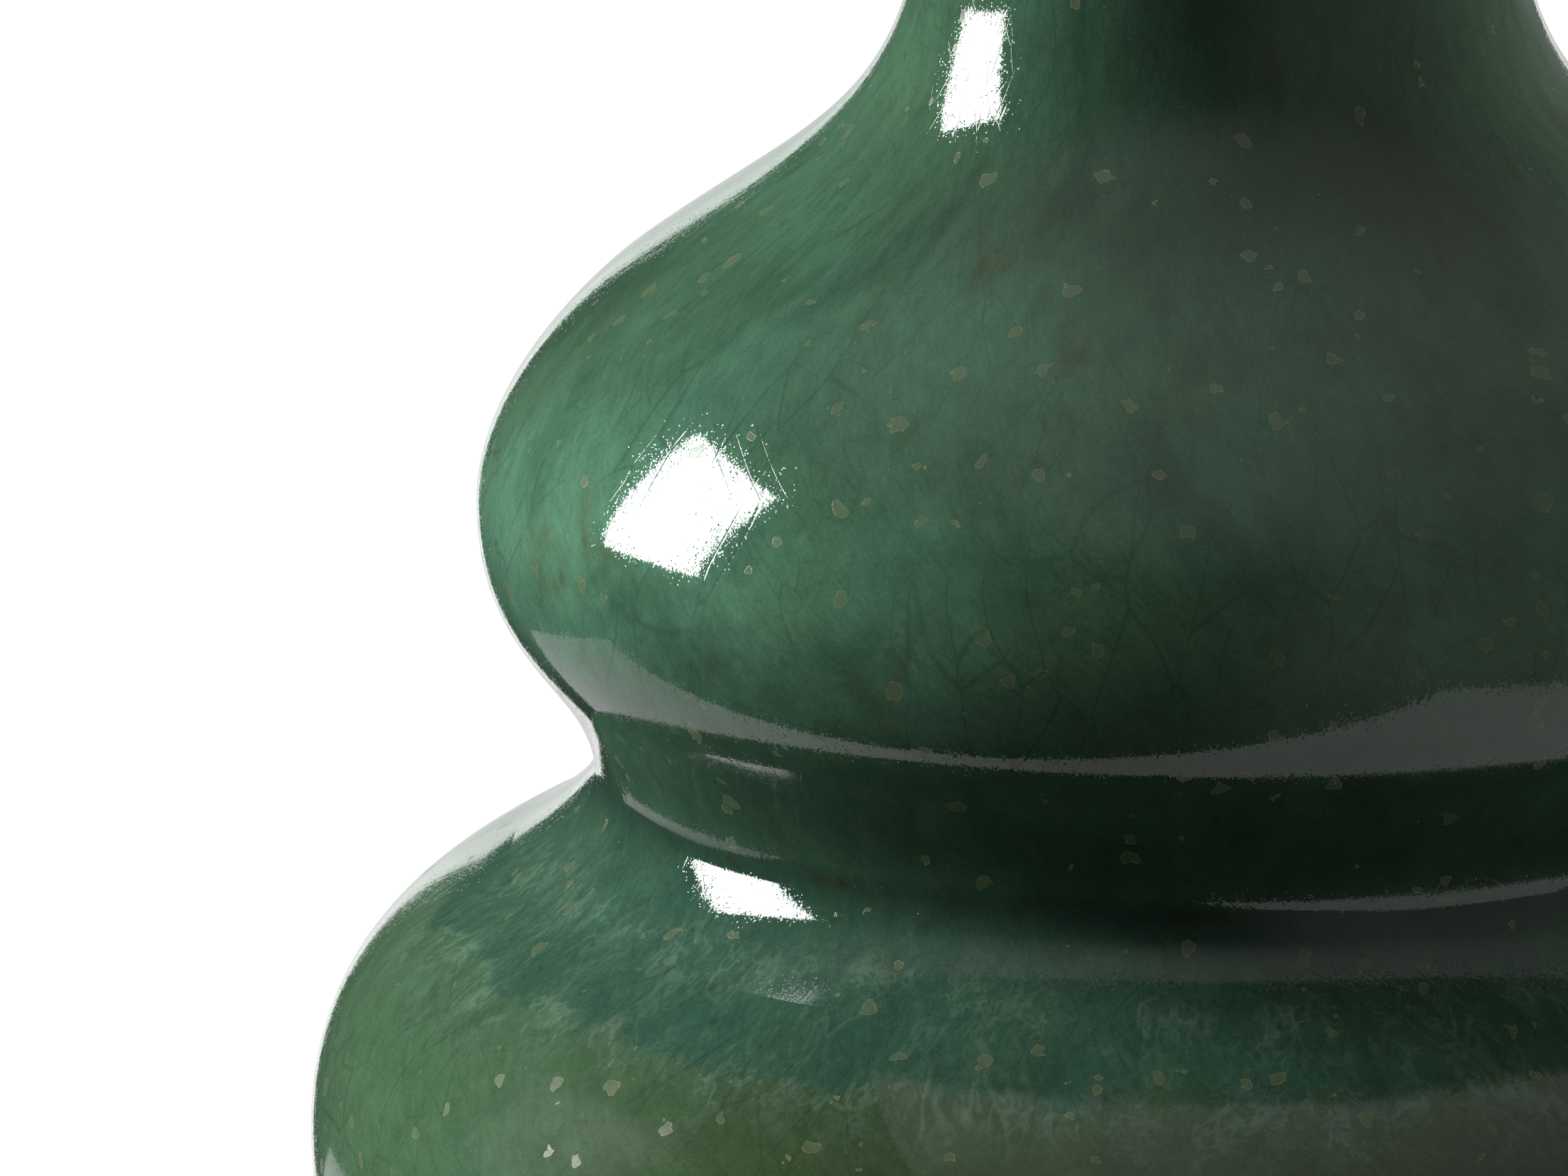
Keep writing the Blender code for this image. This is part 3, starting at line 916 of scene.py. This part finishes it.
def footRing(material):
    foot = outlineStations["foot"]
    top = foot["height"] - wallValues["slipGap"] / 2
    outer = foot["radius"] - coat
    inner = foot["radius"] - wallValues["footWall"]
    taper, bevel, steps = footValues["taper"], footValues["bevel"], footValues["roundness"]
    outerToe = Vector((outer - taper - bevel, 0.0, bevel))
    innerToe = Vector((inner + taper + bevel, 0.0, bevel))
    profile = [Vector((outer, 0.0, top)), Vector((outer, 0.0, 8.0))]
    profile += [Vector((outer, 0.0, glazeCoatValues["footEdge"]))]
    profile += arcPoints(outerToe, bevel, 0.0, -90.0, steps)
    profile += [Vector(((outer + inner) / 2, 0.0, 0.0))]
    profile += arcPoints(innerToe, bevel, -90.0, -180.0, steps)
    profile += [Vector((inner + taper / 2, 0.0, top / 2)), Vector((inner, 0.0, top))]
    profile += list(reversed(ringGroove(foot["radius"] - wallValues["footWall"] / 2, top)))
    piece = turnedPiece("footRing", profile, wallValues["around"])
    finishPiece(piece, "foot_ring", material)


seamCoils = {
    "bellyCoil": (
        "belly_luting_coil",
        [("flare", "belly", 0.5, 1.0)],
        [("belly", "fillet", 0.0, 0.5)],
    ),
    "waistCoil": (
        "waist_luting_coil",
        [("fillet", "underCrease"), ("underCrease", "overCrease", 0.0, 0.5)],
        [("underCrease", "overCrease", 0.5, 1.0), ("overCrease", "upperBelly")],
    ),
    "upperBellyCoil": (
        "upper_belly_luting_coil",
        [("overCrease", "upperBelly")],
        [("upperBelly", "break")],
    ),
    "neckCoil": (
        "neck_luting_coil",
        [("break", "throat", 0.0, seamValues["neckSplit"])],
        [("break", "throat", seamValues["neckSplit"], 1.0)],
    ),
}
coilValues = {"width": 14.6, "height": 2.9, "fingerSpacing": 9.0, "fingerDepth": 0.45}


def seats(pairs, reach):
    # places along the inner wall from a seam outwards, as far as the coil reaches
    depth = backOfWall + wallValues["slipGap"]
    found, walked = [(pairs[0][0] - pairs[0][1] * depth, pairs[0][1], 0.0)], 0.0
    for point, normal in pairs[1:]:
        seat = point - normal * depth
        walked += (seat - found[-1][0]).length
        if walked > reach:
            break
        found.append((seat, normal, walked))
    return found


def seamCoil(name, node, below, above, material):
    half = coilValues["width"] / 2
    lower = seats(list(reversed(outlinePairs(below, 1.2))), half)
    upper = seats(outlinePairs(above, 1.2), half)
    back = list(reversed(upper)) + lower[1:]
    crest = []
    for seat, normal, reach in reversed(back[1:-1]):
        swell = coilValues["height"] * math.sqrt(max(0.0, 1.0 - (reach / half) ** 2))
        crest.append(seat - normal * max(0.15, swell))

    def fingerMarks(point):
        # dents where the coil was pressed home, on its inner face only
        radius = math.hypot(point.x, point.y)
        if radius > crestRadius + coilValues["height"] * 0.55:
            return Vector((0.0, 0.0, 0.0))
        turn = math.atan2(point.y, point.x)
        press = 0.5 + 0.5 * math.sin(turn * round(math.tau * radius / coilValues["fingerSpacing"]))
        drift = noise.noise(point / 11.0)
        outwards = Vector((point.x, point.y, 0.0)).normalized()
        return outwards * coilValues["fingerDepth"] * (press * 0.8 + drift * 0.4)

    crestRadius = min(point.x for point in crest)
    profile = [seat for seat, _, _ in back] + crest
    piece = turnedPiece(name, profile, clayValues["around"], extra=fingerMarks)
    finishPiece(piece, node, material)


footCoilValues = {"size": 4.5, "hollowing": 0.15, "steps": 10}


def footCoil(material):
    foot, size = outlineStations["foot"], footCoilValues["size"]
    corner = foot["radius"] - wallValues["footWall"] - wallValues["slipGap"]
    top = foot["height"] - wallValues["slipGap"] / 2
    hollow = Vector((corner - size, 0.0, top - size))
    profile = [Vector((corner, 0.0, top)), Vector((corner, 0.0, top - size + 0.2))]
    reach, steps = size - footCoilValues["hollowing"], footCoilValues["steps"]
    profile += arcPoints(hollow, reach, 4.0, 86.0, steps)
    piece = turnedPiece("footCoil", profile, wallValues["around"])
    finishPiece(piece, "foot_luting_coil", material)


baseGlazeValues = {"radius": 65.0, "thickness": 0.6, "edgeWander": 1.6}


def baseGlaze(material):
    values = baseGlazeValues
    top = outlineStations["foot"]["height"] - wallValues["slipGap"] / 2
    radius, steps = values["radius"] - values["edgeWander"], 40
    above = [Vector((radius * i / steps, 0.0, top)) for i in range(steps + 1)]
    rim = arcPoints(Vector((radius, 0.0, top - 0.3)), 0.28, 80.0, -80.0, 5)
    below = [
        Vector((radius * i / steps, 0.0, top - values["thickness"]))
        for i in range(steps, -1, -1)
    ]

    def edgeWander(point):
        reach = math.hypot(point.x, point.y)
        if reach < radius * 0.6:
            return Vector((0.0, 0.0, 0.0))
        share = (reach / radius - 0.6) / 0.4
        outwards = Vector((point.x, point.y, 0.0)).normalized()
        drift = noise.noise(Vector((outwards.x * 2.6, outwards.y * 2.6, 4.0)))
        return outwards * drift * values["edgeWander"] * share

    profile = above + rim + below
    piece = turnedPiece("baseGlaze", profile, wallValues["around"], closed=False, extra=edgeWander)
    finishPiece(piece, "base_glaze", material)


glazeMaterial = crackleGlaze()
clayMaterial = bareStoneware("bareStoneware", stonewareValues["buff"], stonewareValues["ringDepth"])
footMaterial = bareStoneware("turnedStonewareFoot", "#A88A68", 0.04)
slipMaterial = bareStoneware("lutingSlip", "#C4AC8B", 0.1)
print("materials ready")

glazeCoat(glazeMaterial)
for name, (node, curves) in clayBands.items():
    clayBand(name, node, curves, clayMaterial)
clayNeck(clayMaterial)
lowerBowl(clayMaterial)
footRing(footMaterial)
for name, (node, below, above) in seamCoils.items():
    seamCoil(name, node, below, above, slipMaterial)
footCoil(slipMaterial)
baseGlaze(poolGlaze())
print("pot ready")


# The studio: one big softbox to the left and a little behind, a backdrop, a pale card lying in
# front that glows with painted light, brighter to the left as if lit by the softbox, a flag over
# the lower bulb, and a dim room with a soft fill behind on the right.
studioValues = {
    "softboxSide": -98.3,
    "softboxHeight": 22.0,
    "softboxDistance": 3.5,
    "softboxWidth": 22.3,
    "softboxTall": 30.0,
    "softboxRoll": 6.5,
    "softboxRadiance": 20.0,
    "backdropDistance": 2.5,
    "backdropHalfWidth": 0.76,
    "backdropBright": 1.5,
    "cardTurn": -37.0,
    "cardCentre": (-0.011, -0.098),
    "cardSize": (1.10, 0.29),
    "cardBright": 1.15,
    "roomDim": 0.03,
    "roomRight": 0.26,
    "roomAbove": 0.46,
    "ambientLeft": 0.05,
    "ambientRight": 0.2,
    "fillWay": (0.6, 0.8, 0.0),
    "fillBehind": 2.6,
    "flagPlace": (-0.3325, -0.095, 0.149),
    "flagSize": (0.555, 0.25),
    "floorSize": 60.0,
    "floorGlow": 0.85,
}


def stageSheet(name, width, depth, place):
    # a flat sheet of the studio, which is not part of the object
    shape = bmesh.new()
    bmesh.ops.create_grid(shape, x_segments=1, y_segments=1, size=0.5)
    bmesh.ops.scale(shape, vec=(width, depth, 1.0), verts=shape.verts[:])
    bmesh.ops.transform(shape, matrix=place, verts=shape.verts[:])
    mesh = bpy.data.meshes.new(name)
    shape.to_mesh(mesh)
    shape.free()
    sheet = bpy.data.objects.new(name, mesh)
    scene.collection.objects.link(sheet)
    return sheet


def glowMaterial(name, peak, axis=(1.0, 0.0, 0.0), stops=None):
    # light given off evenly, or by a curve of (metres along the axis, share of the peak)
    material = newMaterial(name)
    tree = material.node_tree
    shader = addNode(tree, "ShaderNodeEmission", {"Strength": peak})
    if stops:
        position = addNode(tree, "ShaderNodeTexCoord").outputs["Object"]
        along = addNode(
            tree, "ShaderNodeVectorMath", {"operation": "DOT_PRODUCT", 1: axis}, {0: position}
        ).outputs["Value"]
        level = levelRamp(tree, along, stops[0][0], stops[-1][0], stops)
        tree.links.new(combine(tree, "MULTIPLY", level, peak), shader.inputs["Strength"])
    addNode(tree, "ShaderNodeOutputMaterial", links={"Surface": shader.outputs["Emission"]})
    return material


def onlyInReflections(sheet):
    sheet.visible_camera = False
    sheet.visible_diffuse = False
    sheet.visible_shadow = False
    sheet.visible_transmission = False


def studio():
    values = studioValues
    # the floor lies half a millimetre under the foot, so that the two faces don't flicker
    size = values["floorSize"]
    floor = stageSheet("paleFloor", size, size, Matrix.Translation((0.0, 0.0, -0.0005)))
    floorMaterial = newMaterial("paleFloorPaint")
    tree = floorMaterial.node_tree
    shader = addNode(
        tree,
        "ShaderNodeBsdfPrincipled",
        {
            "Base Color": hexColour("#F2F2F0"),
            "Roughness": 0.9,
            "Emission Color": (1.0, 1.0, 1.0, 1.0),
            "Emission Strength": values["floorGlow"],
        },
    )
    addNode(tree, "ShaderNodeOutputMaterial", links={"Surface": shader.outputs["BSDF"]})
    floor.data.materials.append(floorMaterial)
    floor.visible_glossy = False
    floor.visible_diffuse = False

    upright = Matrix.Rotation(math.pi / 2, 4, "X")
    backdropPlace = Matrix.Translation((0.0, values["backdropDistance"], 0.2)) @ upright
    backdrop = stageSheet("backdrop", values["backdropHalfWidth"] * 2, 4.4, backdropPlace)
    half = values["backdropHalfWidth"]
    fading = [(-half, 1.0), (-half * 0.6, 0.55), (0.0, 0.36), (half * 0.6, 0.55), (half, 1.0)]
    backdrop.data.materials.append(
        glowMaterial("litBackdrop", values["backdropBright"], stops=fading)
    )
    onlyInReflections(backdrop)

    turn = math.radians(values["cardTurn"])
    x, y = values["cardCentre"]
    cardPlace = Matrix.Translation((x, y, 0.001)) @ Matrix.Rotation(turn, 4, "Z")
    card = stageSheet("paleCard", *values["cardSize"], cardPlace)
    lengthways = (math.cos(turn), math.sin(turn), 0.0)
    # the card gives off light itself: painted light, brightest left of its middle as if lit by the
    # softbox and dimmer to the right
    lit = [(-0.5, 0.5), (-0.3, 0.75), (-0.15, 1.0), (0.08, 0.6), (0.3, 0.7), (0.62, 0.72)]
    card.data.materials.append(glowMaterial("paleCardGlow", values["cardBright"], lengthways, lit))
    onlyInReflections(card)

    # a flag, black from below and clear from above, that keeps the softbox out of the lower bulb
    flag = stageSheet("blackFlag", *values["flagSize"], Matrix.Translation(values["flagPlace"]))
    flagMaterial = newMaterial("blackFlagCloth")
    tree = flagMaterial.node_tree
    clear = addNode(tree, "ShaderNodeBsdfTransparent").outputs["BSDF"]
    unlit = addNode(tree, "ShaderNodeEmission", {"Strength": 0.0}).outputs["Emission"]
    fromBelow = addNode(tree, "ShaderNodeNewGeometry").outputs["Backfacing"]
    cloth = addNode(tree, "ShaderNodeMixShader", links={0: fromBelow, 1: clear, 2: unlit})
    addNode(tree, "ShaderNodeOutputMaterial", links={"Surface": cloth.outputs["Shader"]})
    flag.data.materials.append(flagMaterial)
    onlyInReflections(flag)

    # softbox, aimed at the upper bulb
    aim = Vector((0.0, 0.0, 0.2))
    side, tall = math.radians(values["softboxSide"]), math.radians(values["softboxHeight"])
    way = Vector(
        (math.sin(side) * math.cos(tall), -math.cos(side) * math.cos(tall), math.sin(tall))
    )
    reach = values["softboxDistance"]
    width = 2 * reach * math.tan(math.radians(values["softboxWidth"] / 2))
    height = 2 * reach * math.tan(math.radians(values["softboxTall"] / 2))
    light = bpy.data.lights.new("softbox", "AREA")
    light.shape = "RECTANGLE"
    light.size, light.size_y = width, height
    light.energy = values["softboxRadiance"] * math.pi * width * height
    softbox = bpy.data.objects.new("softbox", light)
    turnToVase = way.to_track_quat("Z", "Y").to_matrix().to_4x4()
    roll = Matrix.Rotation(math.radians(values["softboxRoll"]), 4, "Z")
    softbox.matrix_world = Matrix.Translation(aim + way * reach) @ turnToVase @ roll
    softbox.visible_camera = False
    scene.collection.objects.link(softbox)

    # the room is blank white to the camera, and dim with a paler ceiling in reflections
    world = bpy.data.worlds.new("studioRoom")
    world.use_nodes = True
    tree = world.node_tree
    tree.nodes.clear()
    way = addNode(tree, "ShaderNodeTexCoord").outputs["Generated"]
    parts = addNode(tree, "ShaderNodeSeparateXYZ", links={"Vector": way}).outputs
    rightSide = remap(tree, parts["X"], -0.12, 0.45)
    wall = remap(tree, rightSide, 0.0, 1.0, values["roomDim"], values["roomRight"], False)
    ceiling = remap(tree, parts["Z"], 0.6, 0.95)
    seenRoom = addNode(
        tree, "ShaderNodeMix", {"data_type": "FLOAT", 3: values["roomAbove"]}, {0: ceiling, 2: wall}
    ).outputs[0]
    ambient = remap(tree, parts["X"], -0.4, 0.7, values["ambientLeft"], values["ambientRight"])
    # a soft fill from behind on the right, for the side that the softbox leaves dark
    nearFill = addNode(
        tree, "ShaderNodeVectorMath", {"operation": "DOT_PRODUCT", 1: values["fillWay"]}, {0: way}
    ).outputs["Value"]
    fill = remap(tree, nearFill, 0.6, 0.95, 0.0, values["fillBehind"])
    ambient = combine(tree, "ADD", ambient, fill)
    path = addNode(tree, "ShaderNodeLightPath")
    strength = addNode(
        tree,
        "ShaderNodeMix",
        {"data_type": "FLOAT"},
        {0: path.outputs["Is Diffuse Ray"], 2: seenRoom, 3: ambient},
    ).outputs[0]
    room = addNode(
        tree, "ShaderNodeBackground", {"Color": hexColour("#F4F4F0")}, {"Strength": strength}
    )
    blank = addNode(tree, "ShaderNodeBackground", {"Color": (1.0, 1.0, 1.0, 1.0), "Strength": 1.0})
    seen = path.outputs["Is Camera Ray"]
    mixed = addNode(
        tree,
        "ShaderNodeMixShader",
        links={0: seen, 1: room.outputs["Background"], 2: blank.outputs["Background"]},
    )
    addNode(tree, "ShaderNodeOutputWorld", links={"Surface": mixed.outputs["Shader"]})
    scene.world = world
    scene.view_settings.view_transform = "Standard"
    scene.view_settings.look = "None"
    print("studio ready")


studio()


# The camera looks 14 degrees down from two metres, turned left of the pot's axis.
cameraValues = {
    "elevation": 14.0,
    "distance": 2.0,
    "aimHeight": 0.1909,
    "turnLeft": 1.9706,
    "lens": 290.44,
}


def photographer():
    values = cameraValues
    tilt, turn = math.radians(values["elevation"]), math.radians(values["turnLeft"])
    ahead = Vector((0.0, math.cos(tilt), -math.sin(tilt)))
    right = Vector((1.0, 0.0, 0.0))
    up = right.cross(ahead)
    place = Vector((0.0, 0.0, values["aimHeight"])) - ahead * values["distance"]
    turnedAhead = ahead * math.cos(turn) - right * math.sin(turn)
    turnedRight = right * math.cos(turn) + ahead * math.sin(turn)
    lens = bpy.data.cameras.new("camera")
    lens.lens = values["lens"]
    lens.sensor_width = 36.0
    lens.sensor_fit = "HORIZONTAL"
    lens.clip_end = 100.0
    camera = bpy.data.objects.new("camera", lens)
    facing = Matrix((turnedRight, up, -turnedAhead)).transposed().to_4x4()
    camera.matrix_world = Matrix.Translation(place) @ facing
    scene.collection.objects.link(camera)
    scene.camera = camera
    print("camera ready")


photographer()

bpy.context.view_layer.update()
